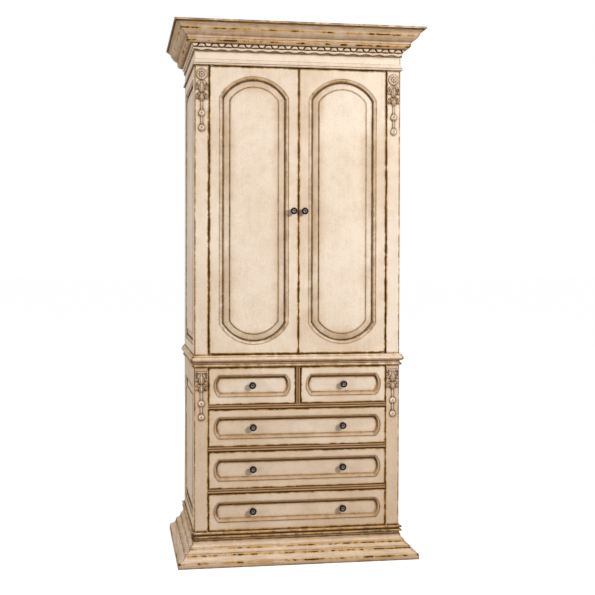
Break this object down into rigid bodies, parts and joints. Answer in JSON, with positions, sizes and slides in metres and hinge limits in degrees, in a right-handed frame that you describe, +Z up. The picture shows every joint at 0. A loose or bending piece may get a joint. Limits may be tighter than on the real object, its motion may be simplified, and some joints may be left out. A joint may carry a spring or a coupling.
{
  "type": "armoire",
  "caption": "Tall painted armoire: a cupboard with arched-panel doors stands on a chest of drawers, between a stepped plinth and a deep crown with a carved rope.",
  "frame": {"origin": "bottom centre of the whole piece, on the floor, half way between the crown's front and the back", "axes": "+Z up, front towards -Y, +X to the right when looking at the front"},
  "size_m": [1.147, 0.696, 2.44],
  "materials": {
    "upper_paint": "cream paint over wood with umber glaze, satin, worn at the edges",
    "lower_paint": "cream paint with a heavier umber glaze, satin, worn at the edges",
    "panel_paint": "cream paint, satin, glazed dark in the quirks",
    "moulding_paint": "cream paint rubbed through to ochre and brown on the arrises",
    "carving_paint": "cream paint, umber glaze lying in the carving",
    "bare_wood": "planed and sealed hardwood",
    "plywood": "sealed plywood",
    "iron": "dark waxed iron",
    "steel": "dull plated steel"
  },
  "bodies": {
    "case": {"plinth_frame": "bare_wood", "plinth_moulding": "moulding_paint", "lower_side_frames": "lower_paint", "lower_side_panels": "lower_paint", "lower_pilasters": "lower_paint", "lower_rails": "lower_paint", "drawer_centre_stile": "lower_paint", "drawer_runners": "bare_wood", "lower_bottom_board": "plywood", "deck_board": "plywood", "lower_back": "plywood", "waist_moulding": "moulding_paint", "upper_side_frames": "upper_paint", "upper_side_panels": "panel_paint", "upper_pilasters": "upper_paint", "frieze_board": "upper_paint", "upper_bottom_board": "plywood", "upper_top_board": "plywood", "upper_back": "plywood", "hat_shelf": "bare_wood", "shelf_cleats": "bare_wood", "clothes_rail": "steel", "rail_sockets": "steel", "crown_moulding": "moulding_paint", "rope_moulding": "upper_paint", "frieze_bead": "upper_paint", "crown_dust_cover": "plywood", "carved_drops": "carving_paint", "pivot_bushes": "steel", "magnetic_catch": "steel"},
    "door_left": {"door_left_frame": "upper_paint", "door_left_panel": "panel_paint", "door_left_knob": "iron", "door_left_pivots": "steel", "door_left_strike": "steel"},
    "door_right": {"door_right_frame": "upper_paint", "door_right_panel": "panel_paint", "door_right_knob": "iron", "door_right_pivots": "steel", "door_right_strike": "steel"},
    "drawer_top_left": {"drawer_top_left_front": "lower_paint", "drawer_top_left_box": "bare_wood", "drawer_top_left_bottom": "plywood", "drawer_top_left_knob": "iron"},
    "drawer_top_right": {"drawer_top_right_front": "lower_paint", "drawer_top_right_box": "bare_wood", "drawer_top_right_bottom": "plywood", "drawer_top_right_knob": "iron"},
    "drawer_2": {"drawer_2_front": "lower_paint", "drawer_2_box": "bare_wood", "drawer_2_bottom": "plywood", "drawer_2_knobs": "iron"},
    "drawer_3": {"drawer_3_front": "lower_paint", "drawer_3_box": "bare_wood", "drawer_3_bottom": "plywood", "drawer_3_knobs": "iron"},
    "drawer_4": {"drawer_4_front": "lower_paint", "drawer_4_box": "bare_wood", "drawer_4_bottom": "plywood", "drawer_4_knobs": "iron"}
  },
  "joints": [
    {"name": "door_left_hinge", "type": "hinge", "parent": "case", "child": "door_left", "pos_m": [-0.401, -0.245, 1.6], "axis": [0, 0, -1], "range_deg": [0, 110]},
    {"name": "door_right_hinge", "type": "hinge", "parent": "case", "child": "door_right", "pos_m": [0.401, -0.245, 1.6], "axis": [0, 0, 1], "range_deg": [0, 110]},
    {"name": "drawer_top_left_slide", "type": "slide", "parent": "case", "child": "drawer_top_left", "axis": [0, -1, 0], "range_m": [0, 0.4]},
    {"name": "drawer_top_right_slide", "type": "slide", "parent": "case", "child": "drawer_top_right", "axis": [0, -1, 0], "range_m": [0, 0.4]},
    {"name": "drawer_2_slide", "type": "slide", "parent": "case", "child": "drawer_2", "axis": [0, -1, 0], "range_m": [0, 0.4]},
    {"name": "drawer_3_slide", "type": "slide", "parent": "case", "child": "drawer_3", "axis": [0, -1, 0], "range_m": [0, 0.4]},
    {"name": "drawer_4_slide", "type": "slide", "parent": "case", "child": "drawer_4", "axis": [0, -1, 0], "range_m": [0, 0.4]}
  ]
}
